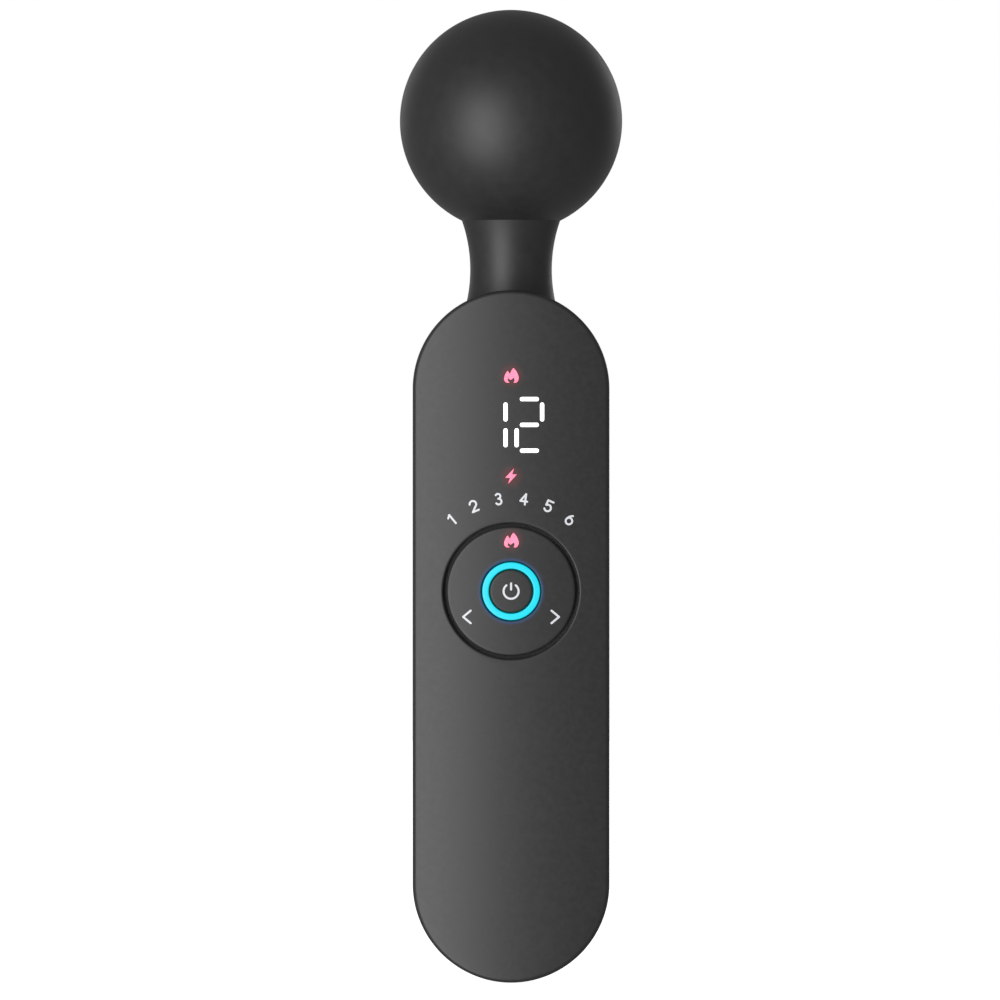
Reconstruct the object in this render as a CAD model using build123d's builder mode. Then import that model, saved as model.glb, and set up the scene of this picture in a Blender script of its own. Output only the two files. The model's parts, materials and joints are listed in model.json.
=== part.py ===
from build123d import *
import os
from math import sqrt

# Handheld wand massager: a stadium-shaped handle with a crowned front panel, a short
# flexible neck and a ball head that holds a vibration motor and a heater.
# Millimetres. +Z runs up the wand to the head, the front panel faces -Y and +X is the
# user's right. The origin is the tail tip, on the wand's axis.

os.makedirs("parts", exist_ok=True)

# Handle
handle_width = 40.9
handle_length = 143.8
front_reach = 15.2          # crown of the front panel, forward of the wand's axis
back_reach = 14.5           # flat of the back, behind the axis
back_round = 11.0           # round of the back's edge
wall = 2.0
parting_reach = 9.4         # middle of the seam between the two shells
seam_gap = 0.3
seam_bevel = 0.25
panel_crown = 2.2           # how far the crowned face falls towards its long edges
panel_back = 12.0           # flat inner face of the panel, forward of the axis
panel_round = 0.9
gasket_recess = 0.5         # how far the seal lies in from the outside
gasket_width = 0.9

# Light windows
window_depth = 0.8
legend_stroke = 0.42
digit_pitch = 7.6
segment_length = 3.95
segment_width = 0.88
segment_out = 2.65          # digit centre to its upright segments
segment_rise = 5.35         # digit centre to its top and bottom segments
frame_margin = 1.5          # opaque frame round the outermost segments
digits_above_bolt = 10.64
flame_above_digits = 10.26
bolt_above_numerals = 4.6
numeral_gap = 5.2           # groove to the middle of the level numbers
numeral_pitch_deg = 15.8
numeral_height = 2.6
numeral_stroke = 0.4
numeral_side = 0.62         # half width of a level number, as a share of its half height
numeral_bowl = 0.46         # radius of the upper bow of the 3, likewise
icon_cell_radius = 1.9
baffle_wall = 0.5
baffle_width = 3.9          # of the arc-shaped baffle behind the level numbers

# Control pad and power button
pad_from_top = 62.5         # pad's centre below the handle's top
pad_radius = 13.4
pad_groove = 0.7
pad_thickness = 1.5
pad_edge_round = 0.3
ring_inner = 4.67
ring_outer = 6.0
part_gap = 0.3              # between the pad, the light ring and the power button
arrow_inset = 3.45          # arrow's tip inside the pad's edge
arrow_drop = 5.33           # below the pad's centre
arrow_size = 1.3
arrow_depth = 1.56
pad_flame_inset = 2.8
power_arc_radius = 1.56
power_arc_deg = (128, 284)  # start and sweep of the power sign's arc
power_bar = (0.35, 1.62)    # foot and top of the power sign's bar
nub_inset = 2.7
nub_radius = 1.0
dome_height = 0.25
dome_radius = 2.2
dome_taper_deg = 60
press_room = 0.45           # under the nubs and the button's stem, for their travel
cap_thickness = 2.5
stem_radius = 1.5
gimbal_plane = 11.9         # tilt axes, forward of the wand's axis
gimbal_gap = 1.1            # between the pad's opening and the gimbal
gimbal_width = 1.0
gimbal_thickness = 0.6
pin_radius = 0.5
pin_clearance = 0.05
pin_root = 0.3              # how far a pin starts inside the gimbal
pad_pin_length = 1.4
eye_offset = 0.75           # gimbal to the middle of the pad's eyes
eye_thickness = 0.7
eye_cheek = 0.7             # beside a pin, in an eye
lug_wall = 0.15             # over a pin, in an eye
lug_gap = 1.5               # gimbal to the carrier's eyes
carrier_step = 1.2          # carrier's opening inside the pad's edge
carrier_ledge = 1.2         # carrier's rim behind the panel
carrier_overlap = 0.6       # eye's root on the carrier
carrier_thickness = 0.8

# Electronics
board_front = 9.6
board_thickness = 1.2
board_half_width = 15.0
board_corner = 4.0
board_low_z = 30.0
board_margin = 2.9          # board above the heat sign
boss_x = 12.5
boss_low_margin = 10.0
boss_high_margin = 11.0
boss_radius = 2.2
thread_radius = 0.8
thread_bite = 0.6           # how far a post's hole runs into the panel
screw_bite = 0.3            # how far a screw's tip runs into the panel
screw_clearance = 0.2
screw_head_radius = 1.7
screw_head_height = 1.2
led_size = (1.6, 0.8)
led_height = 0.6
ring_led_room = 0.2         # over each diode under the light ring
ring_led_side = 0.4         # beside each diode under the light ring
chip_size = 7.0
chip_x = 8.0
chip_drop = 5.2             # below the charging sign
coil_size = (5.0, 4.0)
chip_height = 1.0
battery_radius = 9.15
battery_length = 65.0
battery_low_z = 22.0
battery_round = 0.6
cradle_clearance = 0.05
cradle_wall = 0.6
cradle_gap = 0.1            # between the battery's tray and the back wall
cradle_margin = 2.0         # battery beyond the tray's ends
wire_radius = 0.55
wire_x = 5.0
wire_bend = 2.0
wire_rise = 5.0             # straight run above the battery
wire_top = 8.0              # height of the run to the board, above the battery
wire_knee = 3.0             # forward of the axis, where that run begins

# Charging socket in the tail
socket_bore = 1.25
socket_depth = 9.7
socket_recess = 0.3
nose_radius = 2.4
nose_clearance = 0.1
socket_body = (8.0, 7.0)
socket_shoulder = 0.6       # tail wall to the socket's body
socket_top_z = 12.0

# Neck
pivot_above_top = 6.2       # bending centre above the handle's top
waist_drop = 1.7            # waist below the bending centre
crease_rise = 8.5           # ball's crease above the bending centre
waist_radius = 8.52
crease_radius = 10.28
shoulder_hole = 9.95
shoulder_clearance = 0.2
sleeve_bore = 6.9
sleeve_seam = 0.1
sleeve_flange_height = 1.8
sleeve_flange_radius = 11.0
flange_clearance = 0.57     # sleeve's flange to the inside of the shoulder
core_radius = 6.6
ball_radius = 4.9
ball_clearance = 0.1
socket_rim = 1.4            # pivot to each socket's rim
wire_hole = 2.0
base_plate = (25.0, 12.0)
base_drop = 8.4             # base plate's foot below the sleeve's flange
base_plate_height = 3.0
collar_radius = 10.8
collar_height = 2.0
neck_screw_x = 9.5
neck_screw_thread = 1.0
neck_screw_clearance = 0.15
neck_screw_head = 1.9
neck_screw_bite = 5.0       # past the base plate, into the housing's posts
neck_boss_radius = 2.4

# Head
head_radius = 23.2
cover_wall = 2.2
heater_gap = 0.1
heater_thickness = 0.25
heater_drop = 8.0           # film's lower edge below the ball's centre
heater_height = 22.0
shell_clearance = 0.4       # between the cover and the hard shell
shell_wall = 1.7
shell_lip = 0.9             # lip of the upper shell, its height and thickness
shell_lip_root = 2.3        # how far the lip runs up inside its own shell
neck_hole_gap = 0.2
inner_gap = 0.05
flange_rise = 0.5           # neck's flange above the bottom of the hard shell
flange_height = 4.1
flange_radius = 9.2
motor_radius = 9.5
motor_rise = 1.0            # motor above the neck's flange
motor_length = 20.0
motor_round = 1.0
motor_nose = 1.3
motor_nose_radius = 3.0
shaft_radius = 1.0
shaft_depth = 15.0          # inside the motor
shaft_end_gap = 0.5
bearing_clearance = 0.06
weight_radius = 8.5
weight_rise = 0.7           # weight above the motor's nose
weight_height = 6.0
weight_hub = 2.4
shaft_tip = 1.0             # shaft above the weight
cradle_drop = 3.3           # motor's cradle below the ball's centre
cradle_height = 2.1
cradle_edge = 0.5
cradle_window = 2.2
cradle_screw_gap = 5.0      # motor to the screws' circle
cradle_screw_bite = 4.0
post_radius = 2.0
post_hole_depth = 5.0
thermistor_radius = 0.9
thermistor_height = 1.6
thermistor_gap = 0.2

# Sizes that follow from the ones above
half_width = handle_width / 2
crown_radius = (half_width**2 + panel_crown**2) / (2 * panel_crown)
panel_edge = parting_reach + seam_gap / 2
housing_edge = parting_reach - seam_gap / 2
board_back = board_front - board_thickness
shell_radius = head_radius - cover_wall - shell_clearance
shell_inner = shell_radius - shell_wall
cap_radius = ring_inner - part_gap
press_reach = board_front + dome_height + press_room
reach = handle_width        # longer than any cut in the handle needs to be
head_reach = 3 * head_radius  # wider than any cut in the head needs to be

pad_z = handle_length - pad_from_top
numeral_radius = pad_radius + pad_groove + numeral_gap
bolt_z = pad_z + numeral_radius + bolt_above_numerals
digit_centre_z = bolt_z + digits_above_bolt
flame_z = digit_centre_z + flame_above_digits
board_high_z = flame_z + board_margin
boss_low_z = board_low_z + boss_low_margin
boss_high_z = board_high_z - boss_high_margin
arrow_x = pad_radius - arrow_inset
nub_circle = pad_radius - nub_inset
pad_hole = ring_outer + part_gap
ring_led_notch = led_size[0] + 2 * ring_led_side
gimbal_inner = pad_hole + gimbal_gap
gimbal_outer = gimbal_inner + gimbal_width
carrier_inner = pad_radius - carrier_step
carrier_outer = pad_radius + pad_groove + carrier_ledge
lug_inner = gimbal_outer + lug_gap
lug_outer = carrier_inner + carrier_overlap
lug_half = pin_radius + pin_clearance + eye_cheek
lug_reach = pin_radius + pin_clearance + lug_wall
battery_back = back_reach - wall - cradle_gap - cradle_wall - cradle_clearance - battery_radius
battery_high_z = battery_low_z + battery_length

pivot_z = handle_length + pivot_above_top
waist_z = pivot_z - waist_drop
crease_z = pivot_z + crease_rise
waist_curve = ((crease_z - waist_z) ** 2 + (crease_radius - waist_radius) ** 2) / (
    2 * (crease_radius - waist_radius)
)
# Height inside the shoulder at the sleeve's flange, under the top arc and at the back's round
side_shoulder = handle_length - half_width + sqrt((half_width - wall) ** 2 - sleeve_flange_radius**2)
back_offset = sleeve_flange_radius - back_reach + back_round
back_shoulder = handle_length - back_round + sqrt((back_round - wall) ** 2 - back_offset**2)
sleeve_flange_top = min(side_shoulder, back_shoulder) - flange_clearance
sleeve_flange_z = sleeve_flange_top - sleeve_flange_height
base_low_z = sleeve_flange_z - base_drop

head_z = crease_z + sqrt(head_radius**2 - crease_radius**2)
flange_low_z = head_z - shell_inner + flange_rise
flange_high_z = flange_low_z + flange_height
motor_low_z = flange_high_z + motor_rise
motor_high_z = motor_low_z + motor_length
shaft_low_z = motor_high_z - shaft_depth
weight_low_z = motor_high_z + motor_nose + weight_rise
shaft_high_z = weight_low_z + weight_height + shaft_tip
cradle_low_z = head_z - cradle_drop
cradle_high_z = cradle_low_z + cradle_height
cradle_screw_circle = motor_radius + cradle_screw_gap


def front_plane(forward):
    """Plane that faces forward, at this distance in front of the wand's axis."""
    return Plane.XZ.offset(forward)


def stadium(inset):
    """The handle's outline, drawn in by an inset all round."""
    with BuildSketch() as outline:
        with Locations((0, handle_length / 2)):
            SlotOverall(handle_length - 2 * inset, handle_width - 2 * inset, rotation=90)
    return outline.sketch


def crown_section(depth=None):
    """Cross-section inside the crowned face, or only a layer of this depth under it."""
    with BuildSketch() as section:
        with Locations((0, crown_radius - front_reach)):
            Circle(crown_radius)
            if depth:
                Circle(crown_radius - depth, mode=Mode.SUBTRACT)
    return section.sketch


def stroke(start, end, width):
    """One straight pen stroke with round ends."""
    middle = ((start[0] + end[0]) / 2, (start[1] + end[1]) / 2)
    SlotCenterPoint(middle, end, width)


def bow(centre, radius, start_deg, sweep_deg, width):
    """One curved pen stroke with round ends."""
    with BuildLine(mode=Mode.PRIVATE) as path:
        CenterArc(centre, radius, start_deg, sweep_deg)
    SlotArc(path.wire(), width)


def flame():
    """Two tongues of flame, the right one taller, round an opening at the foot."""
    with BuildSketch() as icon:
        with BuildLine():
            ThreePointArc((-0.8, -1.5), (-1.38, -1.05), (-1.4, -0.4))
            ThreePointArc((-1.4, -0.4), (-1.18, 0.3), (-0.72, 0.95))
            ThreePointArc((-0.72, 0.95), (-0.45, 0.6), (-0.2, 0.2))
            ThreePointArc((-0.2, 0.2), (0.05, 0.95), (0.5, 1.55))
            ThreePointArc((0.5, 1.55), (1.15, 0.75), (1.55, -0.25))
            ThreePointArc((1.55, -0.25), (1.5, -0.95), (1.05, -1.5))
            Line((1.05, -1.5), (0.5, -1.5))
            ThreePointArc((0.5, -1.5), (0.72, -1.0), (0.55, -0.45))
            Polyline((0.55, -0.45), (-0.1, -0.95), (-0.65, -0.5), (-0.72, -1.1), (-0.3, -1.5))
            Line((-0.3, -1.5), (-0.8, -1.5))
        make_face()
    return icon.sketch


def bolt():
    """A lightning bolt."""
    with BuildSketch() as icon:
        with BuildLine():
            Polyline(
                (0.6, 1.6), (-1.2, -0.35), (-0.2, -0.35), (-0.6, -1.6), (1.2, 0.35), (0.2, 0.35),
                close=True,
            )
        make_face()
    return icon.sketch


def numeral(digit):
    """A level number from 1 to 6, in round-ended strokes, upright on the origin."""
    top = (numeral_height - numeral_stroke) / 2
    side = top * numeral_side
    bowl = top * numeral_bowl
    with BuildSketch() as glyph:
        if digit == 1:
            stroke((0.15, -top), (0.15, top), numeral_stroke)
            stroke((0.15, top), (-side * 0.7, top * 0.6), numeral_stroke)
        if digit == 2:
            bow((0, top - side), side, -35, 200, numeral_stroke)
            stroke((side * 0.819, top - side * 1.574), (-side, -top), numeral_stroke)
            stroke((-side, -top), (side, -top), numeral_stroke)
        if digit == 3:
            bow((0, top - bowl), bowl, -90, 235, numeral_stroke)
            bow((0, -bowl), top - bowl, -150, 240, numeral_stroke)
        if digit == 4:
            stroke((side * 0.5, -top), (side * 0.5, top), numeral_stroke)
            stroke((side * 0.5, top), (-side, -top * 0.4), numeral_stroke)
            stroke((-side, -top * 0.4), (side * 1.1, -top * 0.4), numeral_stroke)
        if digit == 5:
            stroke((side, top), (-side * 0.75, top), numeral_stroke)
            stroke((-side * 0.75, top), (-side * 0.8, 0.1), numeral_stroke)
            bow((0, side - top), side, -150, 285, numeral_stroke)
        if digit == 6:
            with Locations((0, side - top)):
                Circle(side + numeral_stroke / 2)
                Circle(side - numeral_stroke / 2, mode=Mode.SUBTRACT)
            bow((side * 1.6, side * 0.9 - top), side * 2.6, 180, -52, numeral_stroke)
    return glyph.sketch


def polar_offset(radius, degrees_from_top):
    """Place on a circle about the pad's centre, as (x, z), clockwise from the top."""
    place = Vector(0, radius).rotate(Axis.Z, -degrees_from_top)
    return (place.X, pad_z + place.Y)


numeral_angles = [numeral_pitch_deg * (n - 2.5) for n in range(6)]
nub_places = [polar_offset(nub_circle, angle) for angle in (0, 120, 240)]
boss_places = [(x, z) for x in (-boss_x, boss_x) for z in (boss_low_z, boss_high_z)]
ring_led_places = [polar_offset((ring_inner + ring_outer) / 2, a) for a in (45, 135, 225, 315)]

# ---------------------------------------------------------------- front panel and its windows

# Lit segments of the two-digit display, which reads 12
lit_segments = [
    (-digit_pitch / 2 + segment_out, segment_rise / 2, 90),
    (-digit_pitch / 2 + segment_out, -segment_rise / 2, 90),
    (digit_pitch / 2, segment_rise, 0),
    (digit_pitch / 2 + segment_out, segment_rise / 2, 90),
    (digit_pitch / 2, 0, 0),
    (digit_pitch / 2 - segment_out, -segment_rise / 2, 90),
    (digit_pitch / 2, -segment_rise, 0),
]
with BuildPart() as digit_windows:
    with BuildSketch(front_plane(panel_back)):
        for x, rise, turn in lit_segments:
            with Locations((x, digit_centre_z + rise)):
                SlotOverall(segment_length, segment_width, rotation=turn)
    extrude(amount=front_reach - panel_back)
    with BuildSketch(Plane.XY):
        add(crown_section(window_depth))
    extrude(amount=handle_length, mode=Mode.INTERSECT)
digit_windows.part.label = "digit_windows"
export_step(digit_windows.part, "parts/digit_windows.step")

# Heat and charging signs above and below the digits
with BuildPart() as status_windows:
    with BuildSketch(front_plane(panel_back)):
        with Locations((0, flame_z)):
            add(flame())
        with Locations((0, bolt_z)):
            add(bolt())
    extrude(amount=front_reach - panel_back)
    with BuildSketch(Plane.XY):
        add(crown_section(window_depth))
    extrude(amount=handle_length, mode=Mode.INTERSECT)
status_windows.part.label = "status_windows"
export_step(status_windows.part, "parts/status_windows.step")

# Level numbers on an arc over the pad
with BuildPart() as level_windows:
    with BuildSketch(front_plane(panel_back)):
        for n, angle in enumerate(numeral_angles):
            with Locations(Location(polar_offset(numeral_radius, angle), -angle)):
                add(numeral(n + 1))
    extrude(amount=front_reach - panel_back)
    with BuildSketch(Plane.XY):
        add(crown_section(window_depth))
    extrude(amount=handle_length, mode=Mode.INTERSECT)
level_windows.part.label = "level_windows"
export_step(level_windows.part, "parts/level_windows.step")

# Front shell: crowned face, rounded edge and a short skirt
with BuildPart() as front_panel:
    with BuildSketch(front_plane(panel_edge)):
        add(stadium(0))
    extrude(amount=front_reach - panel_edge)
    with BuildSketch(Plane.XY):
        add(crown_section())
    extrude(amount=handle_length, mode=Mode.INTERSECT)
    fillet(front_panel.faces().sort_by(Axis.Y)[0].outer_wire().edges(), panel_round)
    chamfer(front_panel.faces().sort_by(Axis.Y)[-1].outer_wire().edges(), seam_bevel)
    with BuildSketch(front_plane(panel_edge)):
        add(stadium(wall))
    extrude(amount=panel_back - panel_edge, mode=Mode.SUBTRACT)
    with BuildSketch(front_plane(panel_edge)):
        with Locations((0, pad_z)):
            Circle(pad_radius + pad_groove)
    extrude(amount=front_reach, mode=Mode.SUBTRACT)
    with BuildSketch(front_plane(board_front)):
        with Locations(*boss_places):
            Circle(boss_radius)
    extrude(amount=panel_back - board_front)
    with BuildSketch(front_plane(board_front)):
        with Locations(*boss_places):
            Circle(thread_radius)
    extrude(amount=panel_back - board_front + thread_bite, mode=Mode.SUBTRACT)
    with BuildSketch(Plane.XY.offset(sleeve_flange_z)):
        Circle(shoulder_hole)
    extrude(amount=reach, mode=Mode.SUBTRACT)
    add(digit_windows.part, mode=Mode.SUBTRACT)
    add(status_windows.part, mode=Mode.SUBTRACT)
    add(level_windows.part, mode=Mode.SUBTRACT)
front_panel.part.label = "front_panel"
export_step(front_panel.part, "parts/front_panel.step")

# ---------------------------------------------------------------- rear housing

with BuildPart() as housing_cavity:
    with BuildSketch(front_plane(-back_reach + wall)):
        add(stadium(wall))
    extrude(amount=back_reach - wall + housing_edge)
    fillet(housing_cavity.faces().sort_by(Axis.Y)[-1].outer_wire().edges(), back_round - wall)

neck_screw_places = [(x, base_low_z + base_plate_height / 2) for x in (-neck_screw_x, neck_screw_x)]
with BuildPart() as rear_housing:
    with BuildSketch(front_plane(-back_reach)):
        add(stadium(0))
    extrude(amount=back_reach + housing_edge)
    fillet(rear_housing.faces().sort_by(Axis.Y)[-1].outer_wire().edges(), back_round)
    chamfer(rear_housing.faces().sort_by(Axis.Y)[0].outer_wire().edges(), seam_bevel)
    add(housing_cavity.part, mode=Mode.SUBTRACT)
    # Round opening in the shoulder for the neck
    with BuildSketch(Plane.XY.offset(sleeve_flange_z)):
        Circle(shoulder_hole)
    extrude(amount=reach, mode=Mode.SUBTRACT)
    # Round opening in the tail for the charging socket
    with BuildSketch(Plane.XY):
        Circle(nose_radius + nose_clearance)
    extrude(amount=socket_top_z, mode=Mode.SUBTRACT)
    # Posts that take the neck's two screws
    with BuildSketch(front_plane(-back_reach + wall / 2)):
        with Locations(*neck_screw_places):
            Circle(neck_boss_radius)
    extrude(amount=back_reach - wall / 2 - base_plate[1] / 2)
    with BuildSketch(front_plane(-back_reach + wall)):
        with Locations(*neck_screw_places):
            Circle(neck_screw_thread)
    extrude(amount=reach, mode=Mode.SUBTRACT)
rear_housing.part.label = "rear_housing"
export_step(rear_housing.part, "parts/rear_housing.step")

# Seal between the two shells, a little in from the outside
with BuildPart() as housing_gasket:
    with BuildSketch(front_plane(housing_edge)):
        add(stadium(gasket_recess))
        add(stadium(gasket_recess + gasket_width), mode=Mode.SUBTRACT)
    extrude(amount=seam_gap)
    with BuildSketch(Plane.XY.offset(sleeve_flange_z)):
        Circle(shoulder_hole)
    extrude(amount=reach, mode=Mode.SUBTRACT)
housing_gasket.part.label = "housing_gasket"
export_step(housing_gasket.part, "parts/housing_gasket.step")

# ---------------------------------------------------------------- control pad and power button

# Tube of clear plastic that glows round the power button
with BuildPart() as light_ring:
    with BuildSketch(front_plane(board_front)):
        with Locations((0, pad_z)):
            Circle(ring_outer)
            Circle(ring_inner, mode=Mode.SUBTRACT)
    extrude(amount=front_reach - board_front)
    with BuildSketch(Plane.XY):
        add(crown_section())
    extrude(amount=handle_length, mode=Mode.INTERSECT)
    with BuildSketch(front_plane(board_front)):
        with Locations(*ring_led_places):
            Rectangle(ring_led_notch, ring_led_notch)
    extrude(amount=led_height + ring_led_room, mode=Mode.SUBTRACT)
light_ring.part.label = "light_ring"
export_step(light_ring.part, "parts/light_ring.step")

# Power sign, let into the button's face
with BuildPart() as power_sign:
    with BuildSketch(front_plane(panel_back)):
        with Locations((0, pad_z)):
            bow((0, 0), power_arc_radius, *power_arc_deg, legend_stroke)
            stroke((0, power_bar[0]), (0, power_bar[1]), legend_stroke)
    extrude(amount=front_reach - panel_back)
    with BuildSketch(Plane.XY):
        add(crown_section(window_depth))
    extrude(amount=handle_length, mode=Mode.INTERSECT)
power_sign.part.label = "power_sign"
export_step(power_sign.part, "parts/power_sign.step")

with BuildPart() as power_button:
    with BuildSketch(front_plane(front_reach - cap_thickness)):
        with Locations((0, pad_z)):
            Circle(cap_radius)
    extrude(amount=cap_thickness)
    with BuildSketch(Plane.XY):
        add(crown_section())
    extrude(amount=handle_length, mode=Mode.INTERSECT)
    with BuildSketch(front_plane(press_reach)):
        with Locations((0, pad_z)):
            Circle(stem_radius)
    extrude(amount=front_reach - cap_thickness - press_reach)
    add(power_sign.part, mode=Mode.SUBTRACT)
power_button.part.label = "power_button"
export_step(power_button.part, "parts/power_button.step")

# Arrows and heat sign, let into the pad's face
with BuildPart() as pad_arrows:
    with BuildSketch(front_plane(panel_back)):
        with Locations((0, pad_z - arrow_drop)):
            for side in (-1, 1):
                for end in (-arrow_size, arrow_size):
                    stroke((side * arrow_x, 0), (side * (arrow_x - arrow_depth), end), legend_stroke)
    extrude(amount=front_reach - panel_back)
    with BuildSketch(Plane.XY):
        add(crown_section(window_depth))
    extrude(amount=handle_length, mode=Mode.INTERSECT)
pad_arrows.part.label = "pad_arrows"
export_step(pad_arrows.part, "parts/pad_arrows.step")

with BuildPart() as pad_flame:
    with BuildSketch(front_plane(panel_back)):
        with Locations((0, pad_z + pad_radius - pad_flame_inset)):
            add(flame())
    extrude(amount=front_reach - panel_back)
    with BuildSketch(Plane.XY):
        add(crown_section(window_depth))
    extrude(amount=handle_length, mode=Mode.INTERSECT)
pad_flame.part.label = "pad_flame"
export_step(pad_flame.part, "parts/pad_flame.step")

# Rocking pad with three press zones; a nub under each zone works a dome on the board
with BuildPart() as control_pad:
    with BuildSketch(front_plane(front_reach - pad_thickness)):
        with Locations((0, pad_z)):
            Circle(pad_radius)
    extrude(amount=pad_thickness)
    with BuildSketch(Plane.XY):
        add(crown_section())
    extrude(amount=handle_length, mode=Mode.INTERSECT)
    fillet(control_pad.faces().sort_by(Axis.Y)[0].outer_wire().edges(), pad_edge_round)
    with BuildSketch(front_plane(front_reach - pad_thickness)):
        with Locations((0, pad_z)):
            Circle(pad_hole)
    extrude(amount=pad_thickness, mode=Mode.SUBTRACT)
    with BuildSketch(front_plane(press_reach)):
        with Locations(*nub_places):
            Circle(nub_radius)
    extrude(amount=front_reach - pad_thickness - press_reach)
    # Eyes for the gimbal's upright pins
    with BuildSketch(front_plane(gimbal_plane - lug_reach)):
        for side in (-1, 1):
            with Locations((0, pad_z + side * (gimbal_outer + eye_offset))):
                Rectangle(2 * lug_half, eye_thickness)
    extrude(amount=front_reach - pad_thickness - gimbal_plane + lug_reach)
    with BuildSketch(Plane.XY.offset(pad_z - nub_circle + nub_radius)):
        with Locations((0, -gimbal_plane)):
            Circle(pin_radius + pin_clearance)
    extrude(amount=2 * (nub_circle - nub_radius), mode=Mode.SUBTRACT)
    add(pad_arrows.part, mode=Mode.SUBTRACT)
    add(pad_flame.part, mode=Mode.SUBTRACT)
control_pad.part.label = "control_pad"
export_step(control_pad.part, "parts/control_pad.step")

# Gimbal ring: its level pins turn in the carrier and its upright pins in the pad's eyes
with BuildPart() as pad_gimbal:
    with BuildSketch(front_plane(gimbal_plane - gimbal_thickness / 2)):
        with Locations((0, pad_z)):
            Circle(gimbal_outer)
            Circle(gimbal_inner, mode=Mode.SUBTRACT)
    extrude(amount=gimbal_thickness)
    for side in (-1, 1):
        with BuildSketch(Plane.YZ.offset(side * (gimbal_outer - pin_root))):
            with Locations((-gimbal_plane, pad_z)):
                Circle(pin_radius)
        extrude(amount=side * (carrier_inner - gimbal_outer))
        with BuildSketch(Plane.XY.offset(pad_z + side * (gimbal_outer - pin_root))):
            with Locations((0, -gimbal_plane)):
                Circle(pin_radius)
        extrude(amount=side * pad_pin_length)
pad_gimbal.part.label = "pad_gimbal"
export_step(pad_gimbal.part, "parts/pad_gimbal.step")

# Carrier plate behind the panel's round opening, with an eye each side for the gimbal
with BuildPart() as pad_carrier:
    with BuildSketch(front_plane(panel_back - carrier_thickness)):
        with Locations((0, pad_z)):
            Circle(carrier_outer)
            Circle(carrier_inner, mode=Mode.SUBTRACT)
    extrude(amount=carrier_thickness)
    with BuildSketch(front_plane(panel_back - carrier_thickness)):
        for side in (-1, 1):
            with Locations((side * (lug_inner + lug_outer) / 2, pad_z)):
                Rectangle(lug_outer - lug_inner, 2 * lug_half)
    extrude(amount=gimbal_plane + lug_reach - panel_back + carrier_thickness)
    with BuildSketch(Plane.YZ.offset(-lug_outer)):
        with Locations((-gimbal_plane, pad_z)):
            Circle(pin_radius + pin_clearance)
    extrude(amount=2 * lug_outer, mode=Mode.SUBTRACT)
pad_carrier.part.label = "pad_carrier"
export_step(pad_carrier.part, "parts/pad_carrier.step")

# ---------------------------------------------------------------- electronics

with BuildPart() as main_board:
    with BuildSketch(front_plane(board_back)):
        with Locations((0, (board_low_z + board_high_z) / 2)):
            RectangleRounded(2 * board_half_width, board_high_z - board_low_z, board_corner)
        with Locations(*boss_places):
            Circle(thread_radius + screw_clearance, mode=Mode.SUBTRACT)
    extrude(amount=board_thickness)
main_board.part.label = "main_board"
export_step(main_board.part, "parts/main_board.step")

# Snap domes under the power button and the pad's three zones
with BuildPart() as snap_domes:
    with BuildSketch(front_plane(board_front)):
        with Locations((0, pad_z), *nub_places):
            Circle(dome_radius)
    extrude(amount=dome_height, taper=dome_taper_deg)
snap_domes.part.label = "snap_domes"
export_step(snap_domes.part, "parts/snap_domes.step")

# Light-emitting diodes behind each window and under the ring
numeral_places = [polar_offset(numeral_radius, angle) for angle in numeral_angles]
with BuildPart() as board_leds:
    with BuildSketch(front_plane(board_front)):
        with Locations((0, flame_z), (0, bolt_z), *numeral_places, *ring_led_places):
            Rectangle(*led_size)
    extrude(amount=led_height)
board_leds.part.label = "board_leds"
export_step(board_leds.part, "parts/board_leds.step")

# Controller, charger and coil on the board's back
with BuildPart() as board_components:
    with BuildSketch(front_plane(board_back)):
        with Locations((0, digit_centre_z - chip_size / 2), (-chip_x, bolt_z - chip_drop)):
            Rectangle(chip_size, chip_size)
        with Locations((chip_x, bolt_z - chip_drop)):
            Rectangle(*coil_size)
    extrude(amount=-chip_height)
board_components.part.label = "board_components"
export_step(board_components.part, "parts/board_components.step")

# Two-digit display: opaque frame with fourteen cells, each filled by a diffuser
all_segments = []
for centre_x in (-digit_pitch / 2, digit_pitch / 2):
    for rise in (-segment_rise, 0, segment_rise):
        all_segments.append((centre_x, rise, 0))
    for out in (-segment_out, segment_out):
        for rise in (-segment_rise / 2, segment_rise / 2):
            all_segments.append((centre_x + out, rise, 90))
with BuildPart() as segment_diffusers:
    with BuildSketch(front_plane(board_front + led_height)):
        for x, rise, turn in all_segments:
            with Locations((x, digit_centre_z + rise)):
                SlotOverall(segment_length, segment_width, rotation=turn)
    extrude(amount=panel_back - board_front - led_height)
segment_diffusers.part.label = "segment_diffusers"
export_step(segment_diffusers.part, "parts/segment_diffusers.step")

with BuildPart() as display_frame:
    with BuildSketch(front_plane(board_front)):
        with Locations((0, digit_centre_z)):
            Rectangle(digit_pitch + 2 * (segment_out + frame_margin), 2 * (segment_rise + frame_margin))
    extrude(amount=panel_back - board_front)
    add(segment_diffusers.part, mode=Mode.SUBTRACT)
display_frame.part.label = "display_frame"
export_step(display_frame.part, "parts/display_frame.step")

# Opaque collars that keep each sign's light to its own window
with BuildPart() as icon_baffles:
    with BuildSketch(front_plane(board_front)):
        with Locations((0, flame_z), (0, bolt_z)):
            Circle(icon_cell_radius + baffle_wall)
            Circle(icon_cell_radius, mode=Mode.SUBTRACT)
    extrude(amount=panel_back - board_front)
icon_baffles.part.label = "icon_baffles"
export_step(icon_baffles.part, "parts/icon_baffles.step")

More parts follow.
